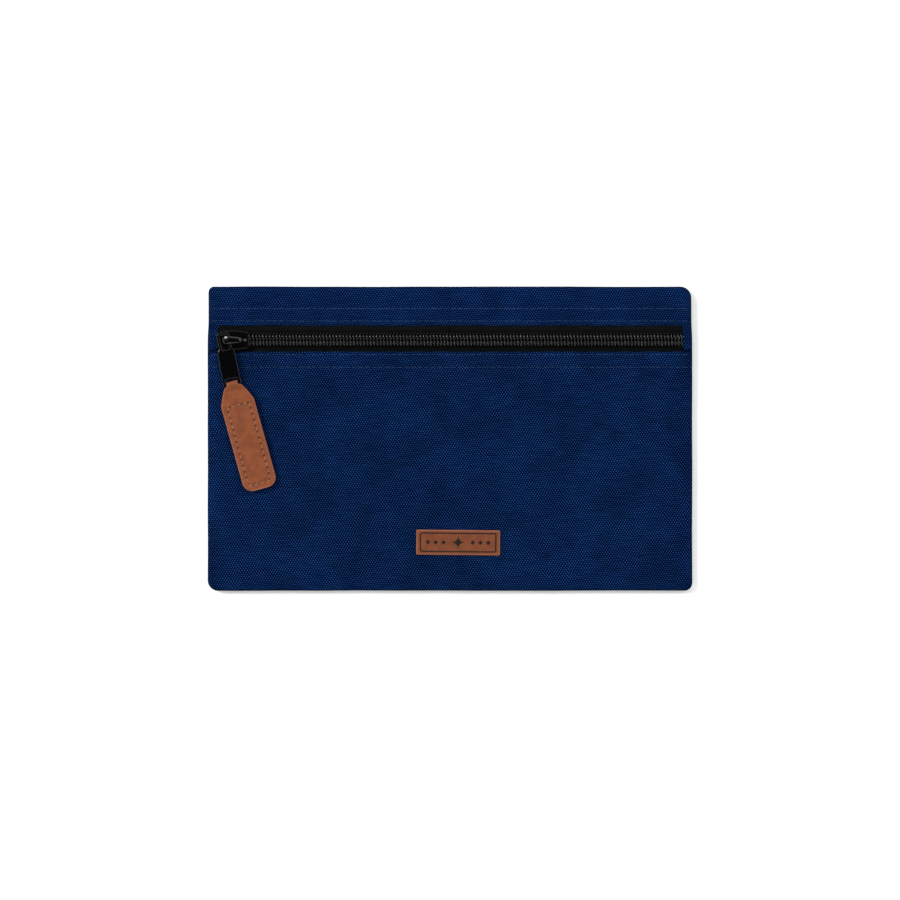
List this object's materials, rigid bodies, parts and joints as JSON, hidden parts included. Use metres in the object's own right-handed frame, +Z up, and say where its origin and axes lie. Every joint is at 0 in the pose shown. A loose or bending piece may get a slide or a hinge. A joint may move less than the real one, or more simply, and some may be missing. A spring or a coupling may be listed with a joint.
{
  "type": "travel document organizer",
  "caption": "Flat zipped fabric pouch for travel documents, with inner slip pockets, a leather-tipped zip pull and a leather label.",
  "frame": {"origin": "middle of the underside, where the pouch lies on its back", "axes": "+X along the zip towards its open end, +Y towards the zip edge, +Z up out of the front"},
  "size_m": [0.25, 0.157, 0.0132],
  "materials": {
    "navy_fabric": "coated plain-weave polyester, navy",
    "lining": "thin plain-weave nylon, near black",
    "binding_tape": "ribbed grosgrain tape, black",
    "blue_thread": "polyester sewing thread, blue",
    "zip_tape": "woven zip tape, black",
    "zip_coil": "nylon coil, black",
    "black_metal": "glossy black lacquer on die-cast metal",
    "lock_spring": "spring steel",
    "tan_leather": "smooth tan leather with raw edges",
    "pressed_mark": "dark pressed mark in leather",
    "tan_thread": "waxed sewing thread, tan"
  },
  "bodies": {
    "pouch": {"back_panel": "navy_fabric", "back_lining": "lining", "seam_binding": "binding_tape", "slip_pocket": "lining", "slip_pocket_binding": "binding_tape", "card_pocket": "lining", "card_pocket_binding": "binding_tape", "pocket_stitching": "blue_thread", "front_panel": "navy_fabric", "front_lining": "lining", "front_panel_stitching": "blue_thread", "end_tab_left": "navy_fabric", "end_tab_right": "navy_fabric", "label_patch": "tan_leather", "label_mark": "pressed_mark", "zip_tape_lower": "zip_tape", "zip_coil_lower": "zip_coil"},
    "upper_lip": {"top_band": "navy_fabric", "top_band_facing": "lining", "top_band_stitching": "blue_thread", "zip_tape_upper": "zip_tape", "zip_coil_upper": "zip_coil"},
    "slider": {"slider_body": "black_metal", "slider_crown": "black_metal", "slider_lock": "lock_spring"},
    "pull_tab": {"pull_tab": "black_metal"},
    "leather_pull": {"leather_pull": "tan_leather", "leather_pull_stitching": "tan_thread"}
  },
  "joints": [
    {"name": "mouth_open", "type": "hinge", "parent": "pouch", "child": "upper_lip", "pos_m": [0, 0.0785, 0.0032], "axis": [-1, 0, 0], "range_deg": [0, 50], "deforming": ["zip_tape_upper", "zip_coil_upper"]},
    {"name": "slider_slide", "type": "slide", "parent": "pouch", "child": "slider", "axis": [1, 0, 0], "range_m": [0, 0.223]},
    {"name": "pull_swing", "type": "hinge", "parent": "slider", "child": "pull_tab", "pos_m": [-0.116, 0.0505, 0.0112], "axis": [0, 0, 1], "range_deg": [-45, 25]},
    {"name": "leather_lift", "type": "hinge", "parent": "pull_tab", "child": "leather_pull", "pos_m": [-0.11156, 0.02767, 0.00975], "axis": [-0.9816, -0.1908, 0], "range_deg": [0, 60]}
  ]
}
